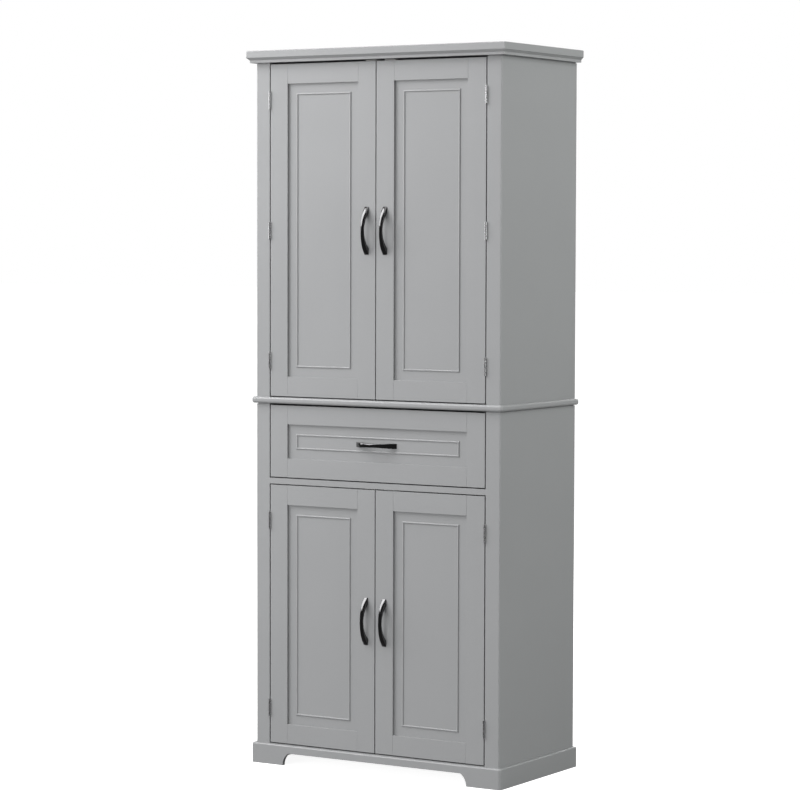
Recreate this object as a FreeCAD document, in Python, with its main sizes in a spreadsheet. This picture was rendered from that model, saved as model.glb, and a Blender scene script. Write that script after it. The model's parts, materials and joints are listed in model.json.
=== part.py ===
"""Pantry cabinet: two stacked cases, four inset doors and one drawer.

Axes: +X is to the right of someone facing the doors, +Y runs from the doors to
the back, +Z is up.  The origin is on the floor, at the middle of the overall
width and of the overall depth, handles included.  Units are millimetres.
"""
import FreeCAD, Part
import math
import os

import Sketcher
from FreeCAD import Placement, Rotation, Vector

# --------------------------------------------------------------------------
# Driving dimensions
# --------------------------------------------------------------------------
DRIVING = (
    # the two cases
    ("total_height", 1834.0, "floor to the top of the cornice"),
    ("case_width", 724.0, "outside of the side panels"),
    ("case_depth", 382.0, "face frame front to the rear edges"),
    ("side_board", 15.0, "side, shelf, divider and bottom boards"),
    ("back_board", 5.0, "back panels"),
    ("back_setback", 7.0, "back panel behind the rear edges"),
    ("groove_deep", 5.0, "grooves that hold the back panels"),
    ("frame_stile", 40.5, "width of a face frame stile"),
    ("frame_thick", 18.0, "thickness of frame, doors and drawer front"),
    ("corner_round", 3.0, "outer corners of the face frame"),
    # cornice, waist board and plinth
    ("cornice_thick", 15.0, "top board of the cornice"),
    ("cornice_over", 19.5, "its overhang at the front and sides"),
    ("cornice_round", 1.5, "plan corners of the cornice"),
    ("cornice_edge", 2.0, "rounding of its upper edge"),
    ("moulding_tall", 15.5, "moulding under the cornice"),
    ("moulding_slope", 6.5, "sloped part of the moulding, down and in"),
    ("moulding_lip", 2.5, "square part above the slope"),
    ("waist_base", 933.0, "underside of the waist board"),
    ("waist_thick", 16.0, "waist board"),
    ("waist_over", 10.0, "its overhang"),
    ("waist_nose", 6.0, "rounding of its front and side edges"),
    ("shadow_tall", 2.0, "groove under the moulding and the waist board"),
    ("shadow_deep", 3.0, "depth of that groove"),
    ("plinth_tall", 52.0, "height of the plinth boards"),
    ("plinth_thick", 10.0, "thickness of the plinth boards"),
    ("plinth_round", 4.0, "rounded top edge of the plinth"),
    ("plan_round", 7.0, "plan corners of waist board and plinth"),
    ("arch_height", 31.5, "cut-out between the front feet"),
    ("arch_half", 274.5, "half of the cut-out at the floor"),
    ("arch_lean", 17.0, "how far its ends lean in at the top"),
    ("arch_radius", 36.8, "curve of its ends"),
    # levels inside the lower case
    ("bottom_level", 53.0, "top of the lower bottom panel"),
    ("divider_base", 726.0, "underside of the board below the drawer"),
    # doors and drawer front
    ("reveal", 2.75, "gap above and below doors and drawer front"),
    ("top_reveal", 4.5, "gap under the moulding and the waist board"),
    ("hinge_gap", 3.0, "gap at the hinge side"),
    ("meeting_gap", 2.5, "gap between a pair of doors"),
    ("door_stile", 52.0, "stiles of doors and drawer front"),
    ("door_rail", 50.5, "rails of the doors"),
    ("drawer_rail", 48.5, "rails of the drawer front"),
    ("recess", 6.0, "front of a panel behind the frame"),
    ("panel_thick", 6.0, "framed panels"),
    ("tongue", 8.0, "panels and rail tongues in their grooves"),
    ("bead_inset", 26.5, "bead centre inside the frame's edge"),
    ("bead_wide", 5.0, "width of the bead"),
    ("bead_rise", 2.2, "height of the bead above its panel"),
    # bow handles
    ("handle_length", 120.0, "overall"),
    ("handle_out", 23.5, "projection"),
    ("handle_wide", 12.5, "width at the feet"),
    ("handle_waist", 9.0, "width at the middle"),
    ("handle_toe", 1.2, "square part at the ends of the feet"),
    ("handle_soft", 1.0, "rounding along the strap"),
    ("handle_bolts", 96.0, "between the two bolts"),
    ("handle_gap", 87.0, "length of the finger gap"),
    ("handle_inner", 18.5, "depth of the finger gap"),
    ("handle_bore", 2.1, "radius of the bolt holes"),
    ("handle_sink", 7.0, "depth of the bolt holes"),
    # butt hinges
    ("hinge_tall", 44.0, "leaf height"),
    ("hinge_end", 91.0, "hinge centre from the end of its door"),
    ("leaf_thick", 1.1, "hinge leaf"),
    ("leaf_screw", 1.5, "radius of the hinge screws"),
    ("leaf_screw_head", 2.7, "radius of their heads"),
    ("leaf_screw_long", 10.0, "length of their shanks"),
    ("leaf_screw_spread", 13.0, "screws above and below the hinge centre"),
    ("pin_cap", 2.1, "radius of the pin's heads"),
    ("pin_cap_tall", 0.8, "height of the pin's heads"),
    ("leaf_reach", 16.0, "leaf behind the front face"),
    ("knuckle_round", 2.5, "outer radius of the knuckles"),
    ("pin_out", 2.6, "pin axis in front of the face"),
    ("pin_round", 1.25, "pin radius"),
    ("pin_fit", 0.05, "radial clearance on the pin"),
    ("knuckle_gap", 0.2, "axial gap between knuckles"),
    # shelves
    ("shelf_gap", 0.5, "shelf end to side panel"),
    ("shelf_front", 4.0, "shelf behind the face frame"),
    ("shelf_rear", 2.0, "shelf in front of the back panel"),
    ("pin_hole_front", 60.0, "front row of shelf pin holes"),
    ("pin_hole_back", 320.0, "rear row of shelf pin holes"),
    ("pin_hole_pitch", 32.0, "pitch of the shelf pin holes"),
    ("shelf_pin", 2.5, "shelf pin radius"),
    ("shelf_pin_deep", 9.0, "pin length in and out of the side panel"),
    # bracket that holds the cabinet to a wall
    ("bracket_steel", 2.0, "steel thickness"),
    ("bracket_wide", 40.0, "width"),
    ("bracket_reach", 27.0, "length of each arm"),
    ("bracket_hole", 14.85, "screw holes from the inside of the corner"),
    ("bracket_screw", 11.0, "length of its own screw"),
    ("wall_hole", 3.0, "radius of the hole for the wall screw"),
    # drawer box and its ball-bearing runners
    ("box_half", 306.0, "half of the drawer box's width"),
    ("box_board", 12.0, "sides, front and back of the box"),
    ("box_deep", 320.0, "length of the box"),
    ("box_base", 758.0, "underside of the box"),
    ("box_tall", 132.0, "height of the box"),
    ("box_floor", 5.0, "drawer bottom"),
    ("box_floor_up", 10.0, "underside of the drawer bottom above the box's"),
    ("runner_wide", 12.7, "space for a runner beside the box"),
    ("runner_level", 800.0, "centre height of the runners"),
    ("runner_long", 300.0, "cabinet and drawer members"),
    ("runner_back", 20.0, "runner behind the front face"),
    ("runner_steel", 1.2, "sheet thickness of the runners"),
)

doc = FreeCAD.newDocument("pantry_cabinet")
sheet = doc.addObject("Spreadsheet::Sheet", "Dims")
for row, (alias, value, meaning) in enumerate(DRIVING, start=1):
    sheet.set("A%d" % row, alias)
    sheet.set("B%d" % row, str(value))
    sheet.set("C%d" % row, meaning)
    sheet.setAlias("B%d" % row, alias)
doc.recompute()


class Length:
    """A number that remembers the spreadsheet expression it comes from."""

    def __init__(self, value, text):
        self.value = value
        self.text = text

    def __add__(self, other):
        other = as_length(other)
        return Length(self.value + other.value, "(%s + %s)" % (self.text, other.text))

    def __sub__(self, other):
        other = as_length(other)
        return Length(self.value - other.value, "(%s - %s)" % (self.text, other.text))

    def __mul__(self, factor):
        return Length(self.value * factor, "(%s * %s)" % (self.text, factor))

    def __truediv__(self, factor):
        return Length(self.value / factor, "(%s / %s)" % (self.text, factor))

    def __neg__(self):
        return self * -1.0

    __radd__ = __add__
    __rmul__ = __mul__

    def __rsub__(self, other):
        return as_length(other) - self


def as_length(number):
    """Return number as a Length."""
    if isinstance(number, Length):
        return number
    return Length(float(number), repr(float(number)))


def dim(alias):
    """The driving dimension with this alias."""
    return Length(float(sheet.get(alias)), "Dims.%s" % alias)


def bind(item, prop, length):
    """Drive one property of a document object from the sheet."""
    length = as_length(length)
    item.setExpression(prop, length.text)


NODES = []


def node(item, label):
    """Name a finished sub-part and list it for export."""
    item.Label = label
    NODES.append(item)
    return item


# --------------------------------------------------------------------------
# Building blocks
# --------------------------------------------------------------------------
def place(item, x, y, z):
    """Bind the three coordinates of an object's placement."""
    bind(item, "Placement.Base.x", x)
    bind(item, "Placement.Base.y", y)
    bind(item, "Placement.Base.z", z)


def board(name, x, y, z):
    """A square-edged board; x, y and z are its (low, high) faces."""
    box = doc.addObject("Part::Box", name)
    place(box, x[0], y[0], z[0])
    bind(box, "Length", as_length(x[1]) - x[0])
    bind(box, "Width", as_length(y[1]) - y[0])
    bind(box, "Height", as_length(z[1]) - z[0])
    return box


TURNS = {
    "+x": Rotation(Vector(0, 1, 0), 90),
    "-x": Rotation(Vector(0, 1, 0), -90),
    "+y": Rotation(Vector(1, 0, 0), -90),
    "-y": Rotation(Vector(1, 0, 0), 90),
    "+z": Rotation(),
    "-z": Rotation(Vector(1, 0, 0), 180),
}


def rod(name, radius, length, at, along):
    """A cylinder that starts at a point and runs along an axis."""
    item = doc.addObject("Part::Cylinder", name)
    item.Placement = Placement(Vector(), TURNS[along])
    place(item, *at)
    bind(item, "Radius", radius)
    bind(item, "Height", length)
    return item


def cone(name, start_radius, end_radius, length, at, along):
    """A cone frustum that starts at a point and runs along an axis."""
    item = doc.addObject("Part::Cone", name)
    item.Placement = Placement(Vector(), TURNS[along])
    place(item, *at)
    bind(item, "Radius1", start_radius)
    bind(item, "Radius2", end_radius)
    bind(item, "Height", length)
    return item


def fuse(name, parts):
    """One solid made of several."""
    item = doc.addObject("Part::MultiFuse", name)
    item.Shapes = parts
    return item


def group(name, parts):
    """Several separate solids handled as one object."""
    item = doc.addObject("Part::Compound", name)
    item.Links = parts
    return item


def cut(name, base, tools):
    """Base with every tool taken out of it."""
    item = doc.addObject("Part::Cut", name)
    item.Base = base
    item.Tool = tools[0] if len(tools) == 1 else group(name + "_tools", tools)
    return item


def line_to(x, y):
    """The next corner of an outline, reached by a straight edge."""
    return (x, y, None, 0)


def arc_to(x, y, radius, turn):
    """The next corner, reached by an arc: turn is +1 left-hand, -1 right-hand."""
    return (x, y, radius, turn)


def arc_geometry(start, end, radius, turn):
    """The circle arc from start to end that turns left (+1) or right (-1)."""
    chord = end - start
    half = chord.Length / 2.0
    normal = Vector(-chord.y, chord.x, 0).normalize()
    centre = start + chord * 0.5 + normal * (turn * math.sqrt(radius ** 2 - half ** 2))
    first = start if turn > 0 else end
    last = end if turn > 0 else start
    begin = math.atan2(first.y - centre.y, first.x - centre.x)
    finish = math.atan2(last.y - centre.y, last.x - centre.x)
    if finish < begin:
        finish += 2.0 * math.pi
    return Part.ArcOfCircle(Part.Circle(centre, Vector(0, 0, 1), radius), begin, finish)


def origin_plane(body, role):
    """One of a body's own origin planes."""
    for feature in body.Origin.OriginFeatures:
        if feature.Role == role:
            return feature
    raise ValueError("no plane " + role)


def new_sketch(body, role, name):
    """An empty sketch on one of the body's origin planes."""
    sketch = body.newObject("Sketcher::SketchObject", name)
    sketch.AttachmentSupport = (origin_plane(body, role), [""])
    sketch.MapMode = "FlatFace"
    return sketch


def drive(sketch, *constraint):
    """Add a constraint whose last value, a Length, is bound to the sheet."""
    length = as_length(constraint[-1])
    index = sketch.addConstraint(Sketcher.Constraint(*constraint[:-1], length.value))
    sketch.setExpression("Constraints[%d]" % index, length.text)


def pin_corner(sketch, edge, end, x, y):
    """Fix one end of an edge at coordinates driven by the sheet."""
    drive(sketch, "DistanceX", -1, 1, edge, end, x)
    drive(sketch, "DistanceY", -1, 1, edge, end, y)


def draw_outline(sketch, corners):
    """Draw a closed outline whose corners and radii are bound to the sheet."""
    points = [Vector(as_length(c[0]).value, as_length(c[1]).value, 0) for c in corners]
    count = len(corners)
    edges = []
    for index in range(count):
        start = points[index]
        end = points[(index + 1) % count]
        radius = corners[(index + 1) % count][2]
        turn = corners[(index + 1) % count][3]
        if radius is None:
            edges.append((sketch.addGeometry(Part.LineSegment(start, end), False), 1, 2))
            continue
        radius = as_length(radius)
        curve = arc_geometry(start, end, radius.value, turn)
        ends = (1, 2) if turn > 0 else (2, 1)
        edges.append((sketch.addGeometry(curve, False),) + ends)
        drive(sketch, "Radius", edges[-1][0], radius)
    for index in range(count):
        before = edges[index - 1]
        after = edges[index]
        sketch.addConstraint(Sketcher.Constraint("Coincident", before[0], before[2], after[0], after[1]))
        pin_corner(sketch, after[0], after[1], corners[index][0], corners[index][1])


def padded(name, role, outline, start, finish):
    """A body padded from an outline on one of its origin planes.

    The outline's coordinates are the cabinet's own; start and finish are
    where the pad begins and ends along the remaining axis.
    """
    body = doc.addObject("PartDesign::Body", name)
    sketch = new_sketch(body, role, name + "_outline")
    draw_outline(sketch, outline)
    pad = body.newObject("PartDesign::Pad", name + "_pad")
    pad.Profile = sketch
    pad.Reversed = role == "XZ_Plane"
    bind(pad, "Length", as_length(finish) - start)
    axis = {"XY_Plane": "z", "XZ_Plane": "y", "YZ_Plane": "x"}[role]
    bind(body, "Placement.Base." + axis, start)
    return body


def rounded(body, radius, wanted):
    """Fillet the edges of a body's tip that wanted(edge) picks."""
    doc.recompute()
    base = body.Tip
    names = ["Edge%d" % number
             for number, edge in enumerate(base.Shape.Edges, start=1) if wanted(edge)]
    if not names:
        raise ValueError("no edge to round on " + body.Name)
    fillet = body.newObject("PartDesign::Fillet", body.Name + "_round")
    fillet.Base = (base, names)
    bind(fillet, "Radius", radius)
    return body


def is_along(edge, axis):
    """True for a straight edge parallel to the axis."""
    if not isinstance(edge.Curve, Part.Line):
        return False
    return abs(edge.Curve.Direction.dot(axis)) > 0.999


def touches(edge, axis, level, slack=0.01):
    """True if the whole edge lies at this level along the axis."""
    box = edge.BoundBox
    low = Vector(box.XMin, box.YMin, box.ZMin).dot(axis)
    high = Vector(box.XMax, box.YMax, box.ZMax).dot(axis)
    return abs(low - level) < slack and abs(high - level) < slack


X = Vector(1, 0, 0)
Y = Vector(0, 1, 0)
Z = Vector(0, 0, 1)


def span(side, near, far):
    """The (low, high) x of something between two distances from the middle."""
    if side > 0:
        return (near, far)
    return (-as_length(far), -as_length(near))


def rectangle(x, y):
    """A rectangular outline between two (low, high) pairs."""
    return (line_to(x[0], y[0]), line_to(x[1], y[0]), line_to(x[1], y[1]), line_to(x[0], y[1]))


# --------------------------------------------------------------------------
# Reference planes
# --------------------------------------------------------------------------
FRONT = -(dim("case_depth") - dim("handle_out")) / 2
REAR = FRONT + dim("case_depth")
FRAME_BACK = FRONT + dim("frame_thick")
BACK_REAR = REAR - dim("back_setback")
BACK_FRONT = BACK_REAR - dim("back_board")
HALF = dim("case_width") / 2
INNER = HALF - dim("side_board")
OPENING = HALF - dim("frame_stile")
HINGE_EDGE = OPENING - dim("hinge_gap")
MEETING_EDGE = dim("meeting_gap") / 2
CORNICE_BASE = dim("total_height") - dim("cornice_thick")
UPPER_TOP = CORNICE_BASE - dim("moulding_tall")
WAIST_BASE = dim("waist_base")
WAIST_TOP = WAIST_BASE + dim("waist_thick")
DIVIDER_BASE = dim("divider_base")
DIVIDER_TOP = DIVIDER_BASE + dim("side_board")
BOTTOM_LEVEL = dim("bottom_level")
BOTTOM_BASE = BOTTOM_LEVEL - dim("side_board")
PIN_X = OPENING - dim("hinge_gap") / 2
PIN_Y = FRONT - dim("pin_out")
SIDES = ((-1, "left"), (1, "right"))

# front-to-back, across and up-and-down limits that many boards share
CASE_Y = (FRAME_BACK, BACK_FRONT)
FRAME_Y = (FRONT, FRAME_BACK)
INSIDE_X = (-INNER, INNER)
OPENING_X = (-OPENING, OPENING)


# --------------------------------------------------------------------------
# Screws and bolts
# --------------------------------------------------------------------------
def step(at, along, distance):
    """The point at this distance from another along one of the axes."""
    sign = 1.0 if along[0] == "+" else -1.0
    place_of = "xyz".index(along[1])
    moved = list(at)
    moved[place_of] = as_length(at[place_of]) + as_length(distance) * sign
    return tuple(moved)


def countersunk_screw(name, at, along):
    """A hinge screw whose head fills the thickness of a leaf."""
    radius = dim("leaf_screw")
    long = dim("leaf_screw_long")
    head = cone(name + "_head", dim("leaf_screw_head"), radius, dim("leaf_thick"), at, along)
    neck = step(at, along, dim("leaf_thick"))
    shank = rod(name + "_shank", radius, long, neck, along)
    tip = cone(name + "_tip", radius, radius / 5, radius * 2, step(neck, along, long), along)
    return fuse(name, [head, shank, tip])


# radius, head radius and head height of each kind of pan-headed screw
WOOD_SCREW = (1.75, 3.5, 1.8)
PLATE_SCREW = (1.5, 2.8, 1.2)
HANDLE_BOLT = (2.0, 4.2, 2.2)
CUT_THROUGH = 1.1  # a cut goes this much deeper than what it cuts away


def pan_screw(name, at, along, length, kind):
    """A screw or bolt with a flat-bottomed head; at is the seat of the head."""
    radius, head_radius, head_tall = kind
    back = {"+": "-", "-": "+"}[along[0]] + along[1]
    head = rod(name + "_head", head_radius, head_tall, at, back)
    shank = rod(name + "_shank", radius, length, at, along)
    return fuse(name, [head, shank])


# --------------------------------------------------------------------------
# Butt hinges
# --------------------------------------------------------------------------
KNUCKLES = 5


def hinge_leaf(name, side, level, inner_face, first):
    """One leaf with every second knuckle, starting with knuckle number first.

    inner_face is the leaf's face nearer the middle of the cabinet.
    """
    tall = dim("hinge_tall")
    base = as_length(level) - tall / 2
    pitch = (tall + dim("knuckle_gap")) / KNUCKLES
    knuckle = pitch - dim("knuckle_gap")
    plate_x = span(side, inner_face, inner_face + dim("leaf_thick"))
    plate_front = PIN_Y + dim("knuckle_round") + dim("knuckle_gap")
    tab_front = PIN_Y + (dim("pin_round") + dim("knuckle_round")) / 2
    parts = [board(name + "_plate", plate_x, (plate_front, FRONT + dim("leaf_reach")),
                   (base, base + tall))]
    for number in range(first, KNUCKLES, 2):
        low = base + pitch * number
        parts.append(board("%s_tab%d" % (name, number), plate_x, (tab_front, plate_front),
                           (low, low + knuckle)))
        parts.append(rod("%s_knuckle%d" % (name, number), dim("knuckle_round"), knuckle,
                         (PIN_X * side, PIN_Y, low), "+z"))
    bore = rod(name + "_bore", dim("pin_round") + dim("pin_fit"), tall,
               (PIN_X * side, PIN_Y, base), "+z")
    return cut(name, fuse(name + "_solid", parts), [bore])


def hinge_pin(name, side, level):
    """A pin with a low head at each end."""
    tall = dim("hinge_tall")
    base = as_length(level) - tall / 2
    shaft = rod(name + "_shaft", dim("pin_round"), tall, (PIN_X * side, PIN_Y, base), "+z")
    cap = dim("pin_cap")
    cap_tall = dim("pin_cap_tall")
    lower = rod(name + "_lower", cap, cap_tall, (PIN_X * side, PIN_Y, base), "-z")
    upper = rod(name + "_upper", cap, cap_tall, (PIN_X * side, PIN_Y, base + tall), "+z")
    return fuse(name, [shaft, lower, upper])


def leaf_screws(name, side, level, face, towards_middle):
    """Two countersunk screws through a leaf whose open face is at face."""
    along = "-x" if (side > 0) == towards_middle else "+x"
    screws = []
    spread = dim("leaf_screw_spread")
    for number, offset in enumerate((-spread, spread)):
        at = (face * side, FRONT + dim("frame_thick") / 2, as_length(level) + offset)
        screws.append(countersunk_screw("%s_%d" % (name, number), at, along))
    return screws


# --------------------------------------------------------------------------
# Bow handle
# --------------------------------------------------------------------------
def bow_handle(name):
    """A bow handle along its own z axis, standing out towards -y.

    Its feet rest on the plane y = 0, and its width runs from x = 0.
    """
    half = dim("handle_length") / 2
    gap = dim("handle_gap") / 2
    outer_radius = arc_radius(half, dim("handle_out") - dim("handle_toe"))
    inner_radius = arc_radius(gap, dim("handle_inner"))
    profile = (
        line_to(0, -half),
        line_to(0, -gap),
        arc_to(0, gap, inner_radius, -1),
        line_to(0, half),
        line_to(-dim("handle_toe"), half),
        arc_to(-dim("handle_toe"), -half, outer_radius, 1),
    )
    body = padded(name, "YZ_Plane", profile, 0, dim("handle_wide"))
    narrow_handle(body)
    body = rounded(body, dim("handle_soft"), is_bow_edge)
    sketch = new_sketch(body, "XZ_Plane", name + "_bolt_circles")
    for end in (-1, 1):
        across = dim("handle_wide") / 2
        level = dim("handle_bolts") / 2 * end
        bore = dim("handle_bore")
        edge = sketch.addGeometry(Part.Circle(Vector(across.value, level.value, 0), Z, bore.value), False)
        pin_corner(sketch, edge, 3, across, level)
        drive(sketch, "Radius", edge, bore)
    bores = body.newObject("PartDesign::Pocket", name + "_bolt_holes")
    bores.Profile = sketch
    bores.Reversed = True
    bind(bores, "Length", dim("handle_sink"))
    return body


def arc_radius(half_chord, rise):
    """The radius of an arc from its half chord and its rise."""
    value = (half_chord.value ** 2 + rise.value ** 2) / (2 * rise.value)
    text = "((%s * %s + %s * %s) / (2 * %s))" % (
        half_chord.text, half_chord.text, rise.text, rise.text, rise.text)
    return Length(value, text)


def narrow_handle(body):
    """Draw the strap in at its middle with a shallow arc along each side."""
    wide = dim("handle_wide")
    slim = (wide - dim("handle_waist")) / 2
    reach = dim("handle_gap") / 2
    radius = arc_radius(reach, slim)
    sketch = new_sketch(body, "XZ_Plane", body.Name + "_sides")
    draw_outline(sketch, (line_to(0, -reach), arc_to(0, reach, radius, 1)))
    draw_outline(sketch, (line_to(wide, reach), arc_to(wide, -reach, radius, 1)))
    pocket = body.newObject("PartDesign::Pocket", body.Name + "_waist")
    pocket.Profile = sketch
    pocket.Reversed = True
    bind(pocket, "Length", dim("handle_out") * CUT_THROUGH)


def is_bow_edge(edge):
    """The edges along both sides of a handle's outer face."""
    radius = arc_radius(dim("handle_length") / 2, dim("handle_out") - dim("handle_toe")).value
    centre_y = radius - dim("handle_out").value
    on_face = all(abs(math.hypot(point.y - centre_y, point.z) - radius) < 0.02
                  for point in edge.discretize(5))
    return on_face and not is_along(edge, X)


# --------------------------------------------------------------------------
# Framed doors and drawer front
# --------------------------------------------------------------------------
RECESS_FRONT = FRONT + dim("recess")
RECESS_BACK = RECESS_FRONT + dim("panel_thick")
TONGUE = dim("tongue")
STILE = dim("door_stile")


def grooved_stile(name, outer, panel_side, low, high):
    """An upright grooved along its panel side; outer and panel_side are x."""
    depth = TONGUE if panel_side.value > outer.value else -TONGUE
    bottom = panel_side - depth
    outline = (
        line_to(outer, FRONT),
        line_to(panel_side, FRONT),
        line_to(panel_side, RECESS_FRONT),
        line_to(bottom, RECESS_FRONT),
        line_to(bottom, RECESS_BACK),
        line_to(panel_side, RECESS_BACK),
        line_to(panel_side, FRAME_BACK),
        line_to(outer, FRAME_BACK),
    )
    return padded(name, "XY_Plane", outline, low, high)


def tongued_rail(name, x, outer, panel_side):
    """A cross rail grooved along its panel side, with a tongue at each end."""
    depth = TONGUE if panel_side.value > outer.value else -TONGUE
    bottom = panel_side - depth
    outline = (
        line_to(FRONT, outer),
        line_to(FRONT, panel_side),
        line_to(RECESS_FRONT, panel_side),
        line_to(RECESS_FRONT, bottom),
        line_to(RECESS_BACK, bottom),
        line_to(RECESS_BACK, panel_side),
        line_to(FRAME_BACK, panel_side),
        line_to(FRAME_BACK, outer),
    )
    rail = padded(name + "_length", "YZ_Plane", outline, x[0], x[1])
    tongue_z = (outer, bottom) if depth.value > 0 else (bottom, outer)
    tongues = board(name + "_tongues", (x[0] - TONGUE, x[1] + TONGUE),
                    (RECESS_FRONT, RECESS_BACK), tongue_z)
    return fuse(name, [rail, tongues])


def beaded_panel(name, x, z):
    """A thin panel with a rounded bead set in from its visible edge.

    x and z bound the visible opening; the panel runs on into the grooves.
    """
    thick = dim("panel_thick")
    plate = rectangle((x[0] - TONGUE, x[1] + TONGUE), (z[0] - TONGUE, z[1] + TONGUE))
    body = doc.addObject("PartDesign::Body", name)
    bind(body, "Placement.Base.y", RECESS_FRONT)
    sketch = new_sketch(body, "XZ_Plane", name + "_outline")
    draw_outline(sketch, plate)
    pad = body.newObject("PartDesign::Pad", name + "_plate")
    pad.Profile = sketch
    pad.Reversed = True
    bind(pad, "Length", thick)

    inset = dim("bead_inset")
    left = x[0] + inset
    right = x[1] - inset
    low = z[0] + inset
    high = z[1] - inset
    middle = (left + right) / 2
    path = new_sketch(body, "XZ_Plane", name + "_bead_path")
    draw_outline(path, (line_to(middle, low), line_to(right, low), line_to(right, high),
                        line_to(left, high), line_to(left, low)))
    profile = new_sketch(body, "YZ_Plane", name + "_bead_profile")
    bind(profile, "AttachmentOffset.Base.z", middle)
    half = dim("bead_wide") / 2
    radius = arc_radius(half, dim("bead_rise"))
    draw_outline(profile, (arc_to(0, low - half, radius, 1), line_to(0, low + half)))
    bead = body.newObject("PartDesign::AdditivePipe", name + "_bead")
    bead.Profile = profile
    bead.Spine = (path, ["Edge%d" % number for number in range(1, 6)])
    bead.Transition = "Right corner"
    return body


def framed_face(name, x, z, rail):
    """Stiles, rails and beaded panel; returns the frame's solids and the panel."""
    rail = dim(rail)
    between = (x[0] + STILE, x[1] - STILE)
    stiles = [
        grooved_stile(name + "_stile_left", as_length(x[0]), between[0], z[0], z[1]),
        grooved_stile(name + "_stile_right", as_length(x[1]), between[1], z[0], z[1]),
    ]
    rails = [
        tongued_rail(name + "_rail_low", between, z[0], z[0] + rail),
        tongued_rail(name + "_rail_high", between, z[1], z[1] - rail),
    ]
    panel = beaded_panel(name + "_beaded", between, (z[0] + rail, z[1] - rail))
    return stiles, rails, panel


def door_x(side):
    """The (low, high) x of a door on one side."""
    low, high = span(side, MEETING_EDGE, HINGE_EDGE)
    return as_length(low), as_length(high)


# strike plates: thickness, x from the cabinet's middle, distance below the door's top
PLATE_THICK = 1.2
PLATE_X = (14.0, 42.0)
PLATE_DROP = (1.5, 12.5)
PLATE_SCREW_LONG = 12.0


def strike_plate(name, side, high):
    """The steel plate that a catch holds, and its screw, behind the door's top."""
    x = span(side, PLATE_X[0], PLATE_X[1])
    back = FRAME_BACK + PLATE_THICK
    plate = board(name + "_plate", x, (FRAME_BACK, back), (high - PLATE_DROP[1], high - PLATE_DROP[0]))
    middle = sum(PLATE_X) / 2 * side
    level = high - sum(PLATE_DROP) / 2
    screw = pan_screw(name + "_screw", (middle, back, level), "-y", PLATE_SCREW_LONG, PLATE_SCREW)
    return cut(name, plate, [screw]), screw


BOLT_GRIP = 6.5  # how far the handle bolts reach into the feet


def door(name, side, low, high, hinges):
    """One inset door with its handle, hinge leaves, strike plate and screws."""
    stiles, rails, panel = framed_face(name, door_x(side), (low, high), "door_rail")
    hinge_stile = stiles[1] if side > 0 else stiles[0]
    meeting_stile = stiles[0] if side > 0 else stiles[1]

    handle_x = (MEETING_EDGE + STILE / 2) * side
    handle_z = (low + high) / 2
    handle = bow_handle(name + "_handle")
    place(handle, handle_x - dim("handle_wide") / 2, FRONT, handle_z)
    bolts = []
    drills = []
    for end in (-1, 1):
        at = (handle_x, FRAME_BACK, handle_z + dim("handle_bolts") / 2 * end)
        bolts.append(pan_screw("%s_bolt%d" % (name, end + 1), at, "-y",
                               dim("frame_thick") + BOLT_GRIP, HANDLE_BOLT))
        drills.append(rod("%s_drill%d" % (name, end + 1), dim("handle_bore"),
                          dim("frame_thick"), at, "-y"))

    leaves = []
    screws = []
    for number, level in enumerate(hinges):
        leaf = hinge_leaf("%s_leaf%d" % (name, number), side, level, HINGE_EDGE, 1)
        pair = leaf_screws("%s_hinge_screw%d" % (name, number), side, level,
                           HINGE_EDGE + dim("leaf_thick"), True)
        leaves.append(cut("%s_leaf%d_drilled" % (name, number), leaf, pair))
        screws.extend(pair)

    plate, plate_screw = strike_plate(name + "_strike", side, high)
    hung = cut(name + "_hinge_stile", hinge_stile, screws)
    pulled = cut(name + "_meeting_stile", meeting_stile, drills + [plate_screw])
    node(group(name + "_frame_parts", [hung, pulled] + rails), name + "_frame")
    node(panel, name + "_panel")
    node(handle, name + "_handle")
    node(group(name + "_hinge_leaf_set", leaves), name + "_hinge_leaves")
    node(group(name + "_fixing_set", [plate, plate_screw] + bolts + screws), name + "_fixings")


def hinge_levels(low, high, count):
    """Evenly spread hinge centres, the outer ones a set distance from the ends."""
    first = low + dim("hinge_end")
    last = high - dim("hinge_end")
    return [first + (last - first) * (number / (count - 1.0)) for number in range(count)]


UPPER_DOOR = (WAIST_TOP + dim("reveal"), UPPER_TOP - dim("top_reveal"))
LOWER_DOOR = (BOTTOM_LEVEL + dim("reveal"), DIVIDER_BASE - dim("reveal"))
UPPER_HINGES = hinge_levels(UPPER_DOOR[0], UPPER_DOOR[1], 3)
LOWER_HINGES = hinge_levels(LOWER_DOOR[0], LOWER_DOOR[1], 2)

for side, word in SIDES:
    door("upper_%s_door" % word, side, UPPER_DOOR[0], UPPER_DOOR[1], UPPER_HINGES)
    door("lower_%s_door" % word, side, LOWER_DOOR[0], LOWER_DOOR[1], LOWER_HINGES)


# --------------------------------------------------------------------------
# Drawer
# --------------------------------------------------------------------------
DRAWER_Z = (DIVIDER_TOP + dim("reveal"), WAIST_BASE - dim("top_reveal"))
DRAWER_X = (-HINGE_EDGE, HINGE_EDGE)
BOX_HALF = dim("box_half")
BOX_BOARD = dim("box_board")
BOX_Y = (FRAME_BACK, FRAME_BACK + dim("box_deep"))
BOX_Z = (dim("box_base"), dim("box_base") + dim("box_tall"))
BOX_INSIDE = (-(BOX_HALF - BOX_BOARD), BOX_HALF - BOX_BOARD)
FRONT_SCREW_LONG = 24.0
FRONT_SCREW_LEVELS = (0.25, 0.75)  # of the height of the box


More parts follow.
